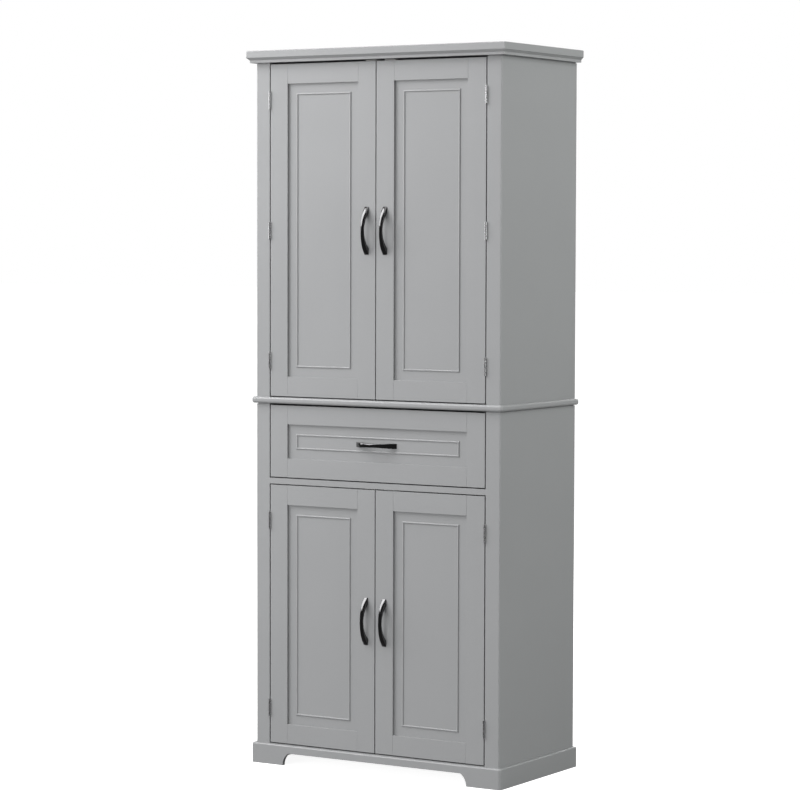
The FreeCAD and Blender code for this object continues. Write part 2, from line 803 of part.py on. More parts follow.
def drawer():
    """The framed front, the box behind it, the handle and the screws."""
    stiles, rails, panel = framed_face("drawer_front", DRAWER_X, DRAWER_Z, "drawer_rail")
    box_front = board("box_front", BOX_INSIDE, (BOX_Y[0], BOX_Y[0] + BOX_BOARD), BOX_Z)
    box_back = board("box_back", BOX_INSIDE, (BOX_Y[1] - BOX_BOARD, BOX_Y[1]), BOX_Z)
    groove = dim("groove_deep")
    floor_z = BOX_Z[0] + dim("box_floor_up")
    floor = board("box_floor", (BOX_INSIDE[0] - groove, BOX_INSIDE[1] + groove),
                  (BOX_Y[0] + BOX_BOARD - groove, BOX_Y[1] - BOX_BOARD + groove),
                  (floor_z, floor_z + dim("box_floor")))
    sides = [cut("box_side_%s_grooved" % word,
                 board("box_side_%s" % word, span(side, BOX_HALF - BOX_BOARD, BOX_HALF), BOX_Y, BOX_Z),
                 [floor]) for side, word in SIDES]

    handle_z = (DRAWER_Z[0] + DRAWER_Z[1]) / 2
    handle = bow_handle("drawer_bow")
    handle.Placement = Placement(Vector(), Rotation(Y, 90))
    place(handle, 0, RECESS_FRONT, handle_z + dim("handle_wide") / 2)
    seat = BOX_Y[0] + BOX_BOARD
    bolts = []
    drills = []
    for end in (-1, 1):
        at = (dim("handle_bolts") / 2 * end, seat, handle_z)
        reach = seat - RECESS_FRONT
        bolts.append(pan_screw("drawer_bolt%d" % (end + 1), at, "-y", reach + BOLT_GRIP, HANDLE_BOLT))
        drills.append(rod("drawer_drill%d" % (end + 1), dim("handle_bore"), reach, at, "-y"))
    front_screws = []
    for end in (-1, 1):
        for level in FRONT_SCREW_LEVELS:
            at = ((BOX_HALF - BOX_BOARD * 2.0) * end, seat, BOX_Z[0] + dim("box_tall") * level)
            front_screws.append(pan_screw("front_screw_%d_%d" % (end + 1, level * 4), at, "-y",
                                          FRONT_SCREW_LONG, WOOD_SCREW))

    drilled_stiles = [cut(stile.Name + "_drilled", stile, front_screws) for stile in stiles]
    node(group("drawer_front_parts", drilled_stiles + rails), "drawer_front_frame")
    node(cut("drawer_front_drilled", panel, drills), "drawer_front_panel")
    node(handle, "drawer_handle")
    node(group("drawer_sides", sides), "drawer_box_sides")
    node(cut("box_front_drilled", box_front, [floor] + drills + front_screws), "drawer_box_front")
    node(cut("box_back_grooved", box_back, [floor]), "drawer_box_back")
    node(floor, "drawer_bottom")
    node(group("drawer_screw_set", bolts + front_screws), "drawer_screws")


drawer()


# --------------------------------------------------------------------------
# Ball-bearing drawer runners
# --------------------------------------------------------------------------
def channel(name, side, web, lips, half_tall, y):
    """A channel along y: web is the outer x of its web, lips the x of its open side."""
    steel = dim("runner_steel")
    inward = steel if web.value > lips.value else -steel
    level = dim("runner_level")
    outline = (
        line_to(web * side, level - half_tall),
        line_to(web * side, level + half_tall),
        line_to(lips * side, level + half_tall),
        line_to(lips * side, level + half_tall - steel),
        line_to((web - inward) * side, level + half_tall - steel),
        line_to((web - inward) * side, level - half_tall + steel),
        line_to(lips * side, level - half_tall + steel),
        line_to(lips * side, level - half_tall),
    )
    return padded(name, "XZ_Plane", outline, y[0], y[1])


RUNNER_OUTER = BOX_HALF + dim("runner_wide")
RUNNER_Y = (FRONT + dim("runner_back"), FRONT + dim("runner_back") + dim("runner_long"))
MIDDLE_FRONT = 3.0  # the middle member starts this far behind the others
MIDDLE_SHORT = 7.0  # and ends this far before them
MIDDLE_Y = (RUNNER_Y[0] + MIDDLE_FRONT, RUNNER_Y[1] - MIDDLE_SHORT)
MIDDLE_GAP = 0.4  # between the webs of the cabinet and middle members
LIP_GAP = 0.2  # between the lips of neighbouring members
CABINET_REACH = 9.4  # from the cabinet member's web to its lips
DRAWER_REACH = 8.4  # from the drawer member's web to its lips
MEMBER_HALF = {"cabinet": 22.5, "middle": 19.6, "drawer": 16.5}  # half heights
BATTEN_HALF = 27.0
BATTEN_PAST = 10.0  # the batten ends this far behind the runner


def runners():
    """Cabinet, middle and drawer members on both sides, and their battens."""
    cabinet = []
    middle = []
    inner = []
    battens = []
    for side, word in SIDES:
        lips = RUNNER_OUTER - CABINET_REACH
        cabinet.append(channel("cabinet_member_" + word, side, RUNNER_OUTER, lips,
                               MEMBER_HALF["cabinet"], RUNNER_Y))
        web = RUNNER_OUTER - dim("runner_steel") - MIDDLE_GAP
        middle.append(channel("middle_member_" + word, side, web, lips + LIP_GAP,
                              MEMBER_HALF["middle"], MIDDLE_Y))
        inner.append(channel("drawer_member_" + word, side, BOX_HALF, BOX_HALF + DRAWER_REACH,
                             MEMBER_HALF["drawer"], RUNNER_Y))
        level = dim("runner_level")
        battens.append(board("batten_" + word, span(side, RUNNER_OUTER, INNER),
                             (FRAME_BACK, RUNNER_Y[1] + BATTEN_PAST),
                             (level - BATTEN_HALF, level + BATTEN_HALF)))
    node(group("cabinet_members", cabinet), "runner_cabinet_members")
    node(group("middle_members", middle), "runner_middle_members")
    node(group("drawer_members", inner), "runner_drawer_members")
    node(group("battens", battens), "runner_battens")


runners()


# --------------------------------------------------------------------------
# Cornice, waist board and plinth
# --------------------------------------------------------------------------
def corner_edge(edge, over):
    """An upright edge at one of the two front corners of an overhanging board."""
    return is_along(edge, Z) and touches(edge, Y, (FRONT - over).value)


def nose_edge(edge, over, levels):
    """An edge round the front and sides of an overhanging board, at one of the levels."""
    box = edge.BoundBox
    at_level = any(touches(edge, Z, level) for level in levels)
    reach = (HALF + over).value
    at_side = abs(box.XMin + reach) < 0.01 or abs(box.XMax - reach) < 0.01
    at_front = abs(box.YMin - (FRONT - over).value) < 0.01
    at_rear = box.YMin > REAR.value - 0.01
    return at_level and (at_side or at_front) and not at_rear


def overhanging_board(name, over, low, high, corner):
    """A board over the whole case with round front corners."""
    reach = HALF + over
    body = padded(name, "XY_Plane", rectangle((-reach, reach), (FRONT - over, REAR)), low, high)
    return rounded(body, corner, lambda edge: corner_edge(edge, over))


def cornice_board():
    """The top board, its upper edge softened."""
    over = dim("cornice_over")
    body = overhanging_board("cornice", over, CORNICE_BASE, dim("total_height"), dim("cornice_round"))
    thick = dim("cornice_thick").value
    return rounded(body, dim("cornice_edge"), lambda edge: nose_edge(edge, over, (thick,)))


def waist_board():
    """The board between the two cases, bullnosed at the front and sides."""
    over = dim("waist_over")
    body = overhanging_board("waist", over, WAIST_BASE, WAIST_TOP, dim("plan_round"))
    thick = dim("waist_thick").value
    for level in (thick, 0.0):
        rounded(body, dim("waist_nose"), lambda edge: nose_edge(edge, over, (level,)))
    return body


def ring_outline(over):
    """The plan of a strip round the front and both sides of the case."""
    reach = HALF + over
    return (
        line_to(-reach, FRONT - over),
        line_to(reach, FRONT - over),
        line_to(reach, REAR),
        line_to(HALF, REAR),
        line_to(HALF, FRONT),
        line_to(-HALF, FRONT),
        line_to(-HALF, REAR),
        line_to(-reach, REAR),
    )


def moulding_ring():
    """The moulding under the cornice: a square lip, a slope in, a square foot."""
    over = dim("cornice_over")
    slope = dim("moulding_slope")
    foot_top = CORNICE_BASE - dim("moulding_lip") - slope
    lip = padded("moulding_lip_strip", "XY_Plane", ring_outline(over), foot_top, CORNICE_BASE)
    doc.recompute()
    base = lip.Tip
    names = ["Edge%d" % number for number, edge in enumerate(base.Shape.Edges, start=1)
             if nose_edge(edge, over, (0.0,))]
    chamfer = lip.newObject("PartDesign::Chamfer", "moulding_slope_cut")
    chamfer.Base = (base, names)
    bind(chamfer, "Size", slope)
    inner = over - slope
    foot = padded("moulding_foot", "XY_Plane", ring_outline(inner), UPPER_TOP, foot_top)
    rounded(foot, dim("cornice_round"), lambda edge: corner_edge(edge, inner))
    return fuse("moulding", [lip, foot])


def shadow_groove(name, top):
    """Tools that cut the small groove round the top of a case."""
    deep = dim("shadow_deep")
    z = (top - dim("shadow_tall"), top)
    past = 1.0
    front = board(name + "_front", (-HALF - past, HALF + past), (FRONT - past, FRONT + deep), z)
    ends = [board(name + "_" + word, span(side, HALF - deep, HALF + past), (FRONT - past, REAR + past), z)
            for side, word in SIDES]
    return [front] + ends


def plinth():
    """The front plinth with its two feet, the side plinths and the rear rail."""
    over = dim("plinth_thick")
    reach = HALF + over
    tall = dim("plinth_tall")
    foot = dim("arch_half")
    shoulder = foot - dim("arch_lean")
    height = dim("arch_height")
    radius = dim("arch_radius")
    outline = (
        line_to(-reach, 0),
        line_to(-foot, 0),
        arc_to(-shoulder, height, radius, -1),
        line_to(shoulder, height),
        arc_to(foot, 0, radius, -1),
        line_to(reach, 0),
        line_to(reach, tall),
        line_to(-reach, tall),
    )
    front = padded("plinth_front_board", "XZ_Plane", outline, FRONT - over, FRONT)
    rounded(front, dim("plan_round"),
            lambda edge: is_along(edge, Z) and touches(edge, Y, 0.0) and edge.Length > tall.value - 1.0)
    rounded(front, dim("plinth_round"),
            lambda edge: touches(edge, Z, tall.value) and not touches(edge, Y, over.value))
    node(front, "plinth_front")
    sides = []
    for side, word in SIDES:
        piece = padded("plinth_side_" + word, "XY_Plane",
                       rectangle(span(side, HALF, reach), (FRONT, REAR)), 0, tall)
        rounded(piece, dim("plinth_round"),
                lambda edge: is_along(edge, Y) and touches(edge, Z, tall.value)
                and touches(edge, X, (reach * side).value))
        sides.append(piece)
    node(group("plinth_side_set", sides), "plinth_sides")
    node(board("rear_rail", INSIDE_X, (BACK_FRONT - dim("side_board"), BACK_FRONT),
               (0, BOTTOM_BASE)), "plinth_rear_rail")


node(cornice_board(), "cornice_top_board")
node(moulding_ring(), "cornice_moulding")
node(waist_board(), "waist_board")
plinth()


# --------------------------------------------------------------------------
# Cases: face frames, sides, backs, shelves and their fittings
# --------------------------------------------------------------------------
def frame_stiles(name, z):
    """A pair of face frame stiles with rounded outer corners."""
    stiles = []
    for side, word in SIDES:
        stile = padded("%s_%s" % (name, word), "XY_Plane",
                       rectangle(span(side, OPENING, HALF), FRAME_Y), z[0], z[1])
        rounded(stile, dim("corner_round"),
                lambda edge: is_along(edge, Z) and touches(edge, Y, FRONT.value)
                and touches(edge, X, (HALF * side).value))
        stiles.append(stile)
    return stiles


def shelf_levels(low, high, count):
    """Undersides of count shelves that share a compartment equally."""
    free = (high - low - dim("side_board") * count) / (count + 1)
    return [low + free * (number + 1) + dim("side_board") * number for number in range(count)]


PIN_ROWS = (FRONT + dim("pin_hole_front"), FRONT + dim("pin_hole_back"))
PIN_HOLES = (-2, -1, 0, 1, 2)


def pin_rods(name, side, levels, length_in, length_out, steps):
    """Rods along x through the inner face of a side panel, one per pin hole."""
    rods = []
    for shelf, level in enumerate(levels):
        height = level - dim("shelf_pin")
        for number, row in enumerate(PIN_ROWS):
            for offset in steps:
                at = ((INNER - length_out) * side, row, height + dim("pin_hole_pitch") * offset)
                label = "%s_%d_%d_%d" % (name, shelf, number, offset + 2)
                rods.append(rod(label, dim("shelf_pin"), dim("shelf_pin_deep") * (length_in + 1.0),
                                at, "+x" if side > 0 else "-x"))
    return rods


def shelves(name, levels):
    """Shelves that lie on their pins."""
    reach = INNER - dim("shelf_gap")
    y = (FRAME_BACK + dim("shelf_front"), BACK_FRONT - dim("shelf_rear"))
    return [board("%s_%d" % (name, number), (-reach, reach), y, (level, level + dim("side_board")))
            for number, level in enumerate(levels)]


def case_side(name, side, z, levels, grooves):
    """A side panel with its grooves cut and its rows of shelf pin holes drilled."""
    panel = board(name, span(side, INNER, HALF), (FRAME_BACK, REAR), z)
    holes = pin_rods(name + "_hole", side, levels, 0.0, 0.0, PIN_HOLES)
    return cut(name + "_drilled", panel, grooves + holes)


def case_back(name, z):
    """A back panel that sits in grooves in the two side panels."""
    groove = dim("groove_deep")
    return board(name, (-INNER - groove, INNER + groove), (BACK_FRONT, BACK_REAR), z)


CATCH_TALL = 14.0
CATCH_DEEP = 15.0
CATCH_GAP = 0.5  # between poles and strike plate
CATCH_PAST = 2.0  # the catch body is this much wider than the plate at each end
POLE_OUT = 1.5
POLE_WIDE = 8.0
POLE_DROP = (3.5, 11.5)  # top and bottom of the poles below the board above
POLE_INSETS = (3.0, 17.0)  # from the end of the plate


def magnetic_catch(name, side, ceiling):
    """A catch body with two steel poles, fixed under a board."""
    front = FRAME_BACK + PLATE_THICK + CATCH_GAP
    x = span(side, PLATE_X[0] - CATCH_PAST, PLATE_X[1] + CATCH_PAST)
    body = board(name + "_body", x, (front + POLE_OUT, front + CATCH_DEEP), (ceiling - CATCH_TALL, ceiling))
    poles = []
    for number, inset in enumerate(POLE_INSETS):
        start = PLATE_X[0] + inset
        poles.append(board("%s_pole%d" % (name, number), span(side, start, start + POLE_WIDE),
                           (front, front + POLE_OUT), (ceiling - POLE_DROP[1], ceiling - POLE_DROP[0])))
    return fuse(name, [body] + poles)


def wall_bracket(name):
    """The angle at the top of the back that a wall screw passes through."""
    leaf = dim("bracket_steel")
    reach = dim("bracket_reach")
    half = dim("bracket_wide") / 2
    arm = board(name + "_arm", (-half, half), (BACK_FRONT - reach, BACK_FRONT), (UPPER_TOP - leaf, UPPER_TOP))
    leg = board(name + "_leg", (-half, half), (BACK_FRONT - leaf, BACK_FRONT), (UPPER_TOP - reach, UPPER_TOP))
    middle = dim("bracket_hole")
    bore = rod(name + "_bore", dim("wall_hole"), dim("back_board") + leaf,
               (0, BACK_FRONT - leaf, UPPER_TOP - middle), "+y")
    screw = pan_screw(name + "_screw", (0, BACK_FRONT - middle, UPPER_TOP - leaf), "+z",
                      dim("bracket_screw"), WOOD_SCREW)
    return cut(name, fuse(name + "_angle", [arm, leg]), [bore, screw]), bore, screw


def cases():
    """Everything of the two cases that doesn't move."""
    upper_z = (WAIST_TOP, CORNICE_BASE)
    lower_z = (0, WAIST_BASE)
    upper_levels = shelf_levels(WAIST_TOP, UPPER_TOP, 2)
    lower_levels = shelf_levels(BOTTOM_LEVEL, DIVIDER_BASE, 1)
    upper_back = case_back("upper_back", upper_z)
    lower_back = case_back("lower_back", (BOTTOM_BASE, WAIST_BASE))

    screws = []
    leaves = []
    pins = []
    hinge_z = UPPER_HINGES + LOWER_HINGES
    for side, word in SIDES:
        for number, level in enumerate(hinge_z):
            face = OPENING - dim("leaf_thick")
            leaf = hinge_leaf("frame_leaf_%s%d" % (word, number), side, level, face, 0)
            pair = leaf_screws("frame_screw_%s%d" % (word, number), side, level, face, False)
            leaves.append(cut("frame_leaf_%s%d_drilled" % (word, number), leaf, pair))
            pins.append(hinge_pin("hinge_pin_%s%d" % (word, number), side, level))
            screws.extend(pair)

    upper_groove = shadow_groove("upper_groove", UPPER_TOP)
    lower_groove = shadow_groove("lower_groove", WAIST_BASE)
    upper_stiles = [cut(item.Name + "_drilled", item, screws + upper_groove)
                    for item in frame_stiles("upper_stile", upper_z)]
    lower_stiles = [cut(item.Name + "_drilled", item, screws + lower_groove)
                    for item in frame_stiles("lower_stile", lower_z)]
    node(group("upper_stile_set", upper_stiles), "upper_frame_stiles")
    node(group("lower_stile_set", lower_stiles), "lower_frame_stiles")
    rails = [
        board("top_rail", OPENING_X, FRAME_Y, (UPPER_TOP, CORNICE_BASE)),
        board("middle_rail", OPENING_X, FRAME_Y, (DIVIDER_BASE, DIVIDER_TOP)),
        board("bottom_rail", OPENING_X, FRAME_Y, (BOTTOM_BASE, BOTTOM_LEVEL)),
    ]
    node(group("rail_set", rails), "frame_rails")

    upper_sides = [case_side("upper_side_" + word, side, upper_z, upper_levels, [upper_back] + upper_groove)
                   for side, word in SIDES]
    lower_sides = [case_side("lower_side_" + word, side, lower_z, lower_levels, [lower_back] + lower_groove)
                   for side, word in SIDES]
    node(group("upper_side_set", upper_sides), "upper_side_panels")
    node(group("lower_side_set", lower_sides), "lower_side_panels")
    bracket, wall_bore, bracket_screw = wall_bracket("wall_angle")
    node(bracket, "wall_bracket")
    node(bracket_screw, "wall_bracket_screw")
    node(cut("upper_back_bored", upper_back, [wall_bore]), "upper_back_panel")
    node(lower_back, "lower_back_panel")
    upper_top = board("upper_top", INSIDE_X, CASE_Y, (UPPER_TOP, CORNICE_BASE))
    node(cut("upper_top_bored", upper_top, [bracket_screw]), "upper_top_panel")
    node(board("divider", INSIDE_X, CASE_Y, (DIVIDER_BASE, DIVIDER_TOP)), "drawer_divider_panel")
    node(board("bottom", INSIDE_X, CASE_Y, (BOTTOM_BASE, BOTTOM_LEVEL)), "lower_bottom_panel")
    node(group("upper_shelf_set", shelves("upper_shelf", upper_levels)), "upper_shelves")
    node(shelves("lower_shelf", lower_levels)[0], "lower_shelf_board")

    shelf_pins = []
    for side, word in SIDES:
        shelf_pins += pin_rods("upper_pin_" + word, side, upper_levels, 1.0, dim("shelf_pin_deep"), (0,))
        shelf_pins += pin_rods("lower_pin_" + word, side, lower_levels, 1.0, dim("shelf_pin_deep"), (0,))
    node(group("shelf_pin_set", shelf_pins), "shelf_pins")

    catches = []
    for side, word in SIDES:
        catches.append(magnetic_catch("upper_catch_" + word, side, UPPER_TOP))
        catches.append(magnetic_catch("lower_catch_" + word, side, DIVIDER_BASE))
    node(group("catch_set", catches), "magnetic_catches")
    node(group("frame_leaf_set", leaves), "hinge_frame_leaves")
    node(group("hinge_pin_set", pins), "hinge_pins")
    node(group("frame_screw_set", screws), "hinge_frame_screws")


cases()


# --------------------------------------------------------------------------
# Check and export
# --------------------------------------------------------------------------
def check():
    """Stop if any object failed or any sub-part has no valid solid."""
    for item in doc.Objects:
        if "Invalid" in item.State or "Error" in item.State:
            raise RuntimeError("%s is %s" % (item.Name, item.State))
    for item in NODES:
        if item.Shape.isNull() or not item.Shape.isValid() or not item.Shape.Solids:
            raise RuntimeError("%s has no valid solid" % item.Label)


doc.recompute()
check()
os.makedirs("parts", exist_ok=True)
for item in NODES:
    item.Shape.exportStep("parts/%s.step" % item.Label)
print("%d nodes written" % len(NODES))
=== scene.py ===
"""Looks, studio and camera for the pantry cabinet.

Lengths are in metres.  +X is to the right of someone facing the doors, +Y runs
from the doors to the back, +Z is up.
"""
import json
import math

import bmesh
import bpy
from mathutils import Matrix, Vector


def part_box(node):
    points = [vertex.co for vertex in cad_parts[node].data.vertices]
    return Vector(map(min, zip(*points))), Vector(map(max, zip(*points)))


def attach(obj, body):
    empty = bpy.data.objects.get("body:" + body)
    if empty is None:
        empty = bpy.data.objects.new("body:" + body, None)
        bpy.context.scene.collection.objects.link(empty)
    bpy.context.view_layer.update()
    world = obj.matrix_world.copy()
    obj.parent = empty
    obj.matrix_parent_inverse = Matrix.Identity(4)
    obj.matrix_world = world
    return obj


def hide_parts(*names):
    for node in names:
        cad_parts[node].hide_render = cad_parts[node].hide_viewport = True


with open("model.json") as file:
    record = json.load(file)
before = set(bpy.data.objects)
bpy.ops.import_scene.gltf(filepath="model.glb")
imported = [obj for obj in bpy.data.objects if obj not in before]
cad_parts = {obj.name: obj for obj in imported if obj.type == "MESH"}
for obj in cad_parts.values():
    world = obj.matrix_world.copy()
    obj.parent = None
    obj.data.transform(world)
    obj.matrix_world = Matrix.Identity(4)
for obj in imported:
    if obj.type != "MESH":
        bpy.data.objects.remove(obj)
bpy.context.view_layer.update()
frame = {"nodes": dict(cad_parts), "record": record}
NODES = frame["nodes"]
MM = 0.001


# --------------------------------------------------------------------------
# Node materials
# --------------------------------------------------------------------------
MIX_COLOUR_INPUTS = (0, 6, 7)    # factor, first and second colour of a mix node
MIX_COLOUR_OUTPUT = 2


class Surface:
    """A Principled material with helpers for procedural detail."""

    def __init__(self, name, **sockets):
        self.material = bpy.data.materials.new(name)
        self.material.use_nodes = True
        self.tree = self.material.node_tree
        self.shader = self.tree.nodes["Principled BSDF"]
        self.place = self.tree.nodes.new("ShaderNodeTexCoord").outputs["Object"]
        for socket, value in sockets.items():
            self.shader.inputs[socket.replace("_", " ")].default_value = value

    def link(self, output, node, socket):
        """Lead an output to a node's socket, given by name."""
        self.tree.links.new(output, node.inputs[socket])

    def stretched(self, scale):
        """Object coordinates scaled by a vector, for grain that runs one way."""
        node = self.tree.nodes.new("ShaderNodeMapping")
        node.inputs["Scale"].default_value = scale
        self.link(self.place, node, "Vector")
        return node.outputs["Vector"]

    def noise(self, scale, detail=3.0, roughness=0.5, place=None):
        """Noise with this many features per metre."""
        node = self.tree.nodes.new("ShaderNodeTexNoise")
        node.inputs["Scale"].default_value = scale
        node.inputs["Detail"].default_value = detail
        node.inputs["Roughness"].default_value = roughness
        self.link(place or self.place, node, "Vector")
        return node.outputs["Fac"]

    def ranged(self, output, low=0.0, high=1.0, start=0.3, end=0.7):
        """Map start..end of an output to low..high."""
        node = self.tree.nodes.new("ShaderNodeMapRange")
        node.inputs["From Min"].default_value = start
        node.inputs["From Max"].default_value = end
        node.inputs["To Min"].default_value = low
        node.inputs["To Max"].default_value = high
        self.link(output, node, "Value")
        return node.outputs["Result"]

    def blend(self, factor, first, second, mode="MIX"):
        """Mix two colours, each a value or an output."""
        node = self.tree.nodes.new("ShaderNodeMix")
        node.data_type = "RGBA"
        node.blend_type = mode
        factor_in, first_in, second_in = (node.inputs[number] for number in MIX_COLOUR_INPUTS)
        self.feed(factor_in, factor)
        self.feed(first_in, first)
        self.feed(second_in, second)
        return node.outputs[MIX_COLOUR_OUTPUT]

    def feed(self, socket, value):
        """Give a socket an output, a colour or a number."""
        if isinstance(value, bpy.types.NodeSocket):
            self.tree.links.new(value, socket)
        elif hasattr(value, "__len__"):
            socket.default_value = (*value[:3], 1.0)
        else:
            socket.default_value = value

    def colour(self, output):
        """Set what the base colour follows."""
        self.link(output, self.shader, "Base Color")

    def roughness(self, output):
        """Set what the roughness follows."""
        self.link(output, self.shader, "Roughness")

    def bumps(self, *layers):
        """Bump layers, each (height output, distance in metres, strength)."""
        normal = None
        for height, distance, strength in layers:
            node = self.tree.nodes.new("ShaderNodeBump")
            node.inputs["Distance"].default_value = distance
            node.inputs["Strength"].default_value = strength
            self.link(height, node, "Height")
            if normal:
                self.link(normal, node, "Normal")
            normal = node.outputs["Normal"]
        self.link(normal, self.shader, "Normal")


def shade(grey, tint=(1.0, 1.0, 1.0)):
    """A grey with a slight tint."""
    return tuple(grey * channel for channel in tint)


PAINT_TINT = (0.972, 0.99, 1.0)
PAINT_GREY = 0.285
PAINT_MOTTLE = 0.015             # how far the clouds in the paint go lighter and darker
PAINT_SPECK = 0.975              # the darkest specks, as a share of the paint's tone
PAPER_MOTTLE = 0.03
BARE_FIBRE = ((0.21, 0.125, 0.070), (0.34, 0.215, 0.125))
FIBRE_FLECK = (0.29, 0.18, 0.105)
MELAMINE = ((0.42, 0.42, 0.41), (0.50, 0.50, 0.49))
NICKEL = ((0.030, 0.030, 0.031), (0.044, 0.044, 0.045))
ZINC_TINT = (1.0, 1.0, 1.03)
ZINC_DULL = 0.86                 # the dull crystals, as a share of the bright ones
WHITE_PLASTIC = ((0.62, 0.62, 0.60), (0.70, 0.70, 0.68))


def mottle(spread):
    """The paint's grey, a little darker and a little lighter."""
    return [shade(PAINT_GREY * (1.0 + step), PAINT_TINT) for step in (-spread, spread)]


def painted():
    """Sprayed satin paint on fibreboard: soft mottling and fine orange peel."""
    paint = Surface("grey_paint", Specular_IOR_Level=0.45)
    clouds = paint.ranged(paint.noise(2.2, detail=2.0))
    base = paint.blend(clouds, *mottle(PAINT_MOTTLE))
    specks = paint.ranged(paint.noise(420.0, detail=2.0), start=0.25, end=0.75)
    toned = paint.blend(specks, shade(PAINT_SPECK), shade(1.0))
    paint.colour(paint.blend(1.0, base, toned, mode="MULTIPLY"))
    paint.roughness(paint.ranged(paint.noise(9.0, detail=4.0), low=0.38, high=0.47))
    peel = paint.noise(650.0, detail=2.0)
    waves = paint.noise(26.0, detail=2.0)
    paint.bumps((peel, 0.00004, 0.6), (waves, 0.0003, 0.25))
    return paint.material


def hardboard():
    """Back panels: grey paper inside, bare brown fibre on the rear face."""
    board = Surface("back_board", Specular_IOR_Level=0.3)
    fibres = board.noise(160.0, detail=6.0, roughness=0.7)
    bare = board.blend(board.ranged(fibres), *BARE_FIBRE)
    flecks = board.ranged(board.noise(900.0, roughness=0.6), start=0.35, end=0.65)
    bare = board.blend(flecks, bare, FIBRE_FLECK)
    paper = board.blend(board.ranged(board.noise(6.0)), *mottle(PAPER_MOTTLE))
    facing = board.tree.nodes.new("ShaderNodeSeparateXYZ")
    geometry = board.tree.nodes.new("ShaderNodeNewGeometry")
    board.link(geometry.outputs["Normal"], facing, "Vector")
    rear = board.ranged(facing.outputs["Y"], start=0.4, end=0.6)
    board.colour(board.blend(rear, paper, bare))
    board.roughness(board.ranged(fibres, low=0.5, high=0.75))
    board.bumps((fibres, 0.0002, 0.5))
    return board.material


def melamine():
    """Light faced board of the drawer box with a faint grain in its paper."""
    board = Surface("drawer_board", Specular_IOR_Level=0.5)
    grain = board.noise(60.0, detail=5.0, roughness=0.6, place=board.stretched((1.0, 0.06, 1.0)))
    board.colour(board.blend(board.ranged(grain), *MELAMINE))
    board.roughness(board.ranged(board.noise(14.0), low=0.38, high=0.5))
    board.bumps((grain, 0.0001, 0.4), (board.noise(800.0), 0.00003, 0.5))
    return board.material


def black_nickel():
    """Polished near-black plating with a trace of buffing."""
    plating = Surface("handle_nickel", Metallic=1.0, Coat_Weight=1.0, Coat_Roughness=0.06)
    clouds = plating.ranged(plating.noise(90.0))
    plating.colour(plating.blend(clouds, *NICKEL))
    along = plating.stretched((1.0, 1.0, 0.08))
    buffing = plating.noise(700.0, detail=4.0, roughness=0.6, place=along)
    plating.roughness(plating.ranged(buffing, low=0.10, high=0.18))
    plating.bumps((buffing, 0.00001, 0.3))
    return plating.material


def zinc(name, bright, rough):
    """Zinc-plated steel with drawn streaks and a cloudy crystal tone."""
    plate = Surface(name, Metallic=1.0)
    clouds = plate.ranged(plate.noise(140.0, detail=4.0, roughness=0.6))
    plate.colour(plate.blend(clouds, shade(bright * ZINC_DULL, ZINC_TINT), shade(bright)))
    along = plate.stretched((1.0, 1.0, 0.1))
    streaks = plate.noise(500.0, detail=4.0, roughness=0.6, place=along)
    plate.roughness(plate.ranged(streaks, low=rough - 0.06, high=rough + 0.08))
    plate.bumps((streaks, 0.00002, 0.4))
    return plate.material


def plastic():
    """Moulded white plastic of the catches."""
    moulded = Surface("catch_plastic", Specular_IOR_Level=0.5)
    clouds = moulded.ranged(moulded.noise(60.0))
    moulded.colour(moulded.blend(clouds, *WHITE_PLASTIC))
    moulded.roughness(moulded.ranged(moulded.noise(200.0), low=0.4, high=0.55))
    moulded.bumps((moulded.noise(1500.0, detail=2.0), 0.00003, 0.5))
    return moulded.material


FINISH = {
    "grey_paint": painted(),
    "back_board": hardboard(),
    "drawer_board": melamine(),
    "handle_nickel": black_nickel(),
    "zinc_steel": zinc("zinc_steel", bright=0.7, rough=0.26),
    "runner_steel": zinc("runner_steel", bright=0.55, rough=0.36),
    "catch_plastic": plastic(),
}


# --------------------------------------------------------------------------
# CAD nodes: finish and broken edges
# --------------------------------------------------------------------------
# the edge rounding of each kind of piece, in millimetres, by part of its name
EASED = (
    ("upper_shelves", 0.7),
    ("lower_shelf_board", 0.7),
    ("drawer_box_", 0.7),
    ("magnetic_catches", 0.6),
    ("hinge_frame_leaves", 0.45),
    ("_hinge_leaves", 0.45),
    ("hinge_pins", 0.3),
    ("shelf_pins", 0.5),
    ("wall_bracket", 0.3),
    ("runner_", 0.15),
)
JOINED = 0.002 * MM             # corners nearer than this are one corner
FLAT = math.radians(0.4)        # faces that turn less than this are one face
BEVELLED = math.radians(40)     # edges that turn more than this are eased
SHARP = math.radians(50)        # edges that turn more than this shade as sharp
SLOT_OF = {part["node"]: part["material_slot"] for part in frame["record"]["subparts"]}
BODY_OF = {node: body for body, nodes in frame["record"]["behaviour"]["bodies"].items()
           for node in nodes}


def eased(name):
    """The bevel width of a node's edges, in metres."""
    for pattern, width in EASED:
        if pattern in name:
            return width * MM
    return 0.0


def clean(node):
    """Join the corners that the file format splits and drop edges inside flat faces."""
    weld = node.modifiers.new("weld", "WELD")
    weld.merge_threshold = JOINED
    flat = node.modifiers.new("flat", "DECIMATE")
    flat.decimate_type = "DISSOLVE"
    flat.angle_limit = FLAT


def ease_edges(node, width):
    """Small round edges, so that every arris catches the light."""
    bevel = node.modifiers.new("edges", "BEVEL")
    bevel.width = width
    bevel.segments = 2
    bevel.limit_method = "ANGLE"
    bevel.angle_limit = BEVELLED
    flatten_shading(node, keep_sharp=False)


def flatten_shading(piece, keep_sharp):
    """Let the large faces set the shading, so that only the eased edges look round."""
    tidy = piece.modifiers.new("normals", "WEIGHTED_NORMAL")
    tidy.keep_sharp = keep_sharp


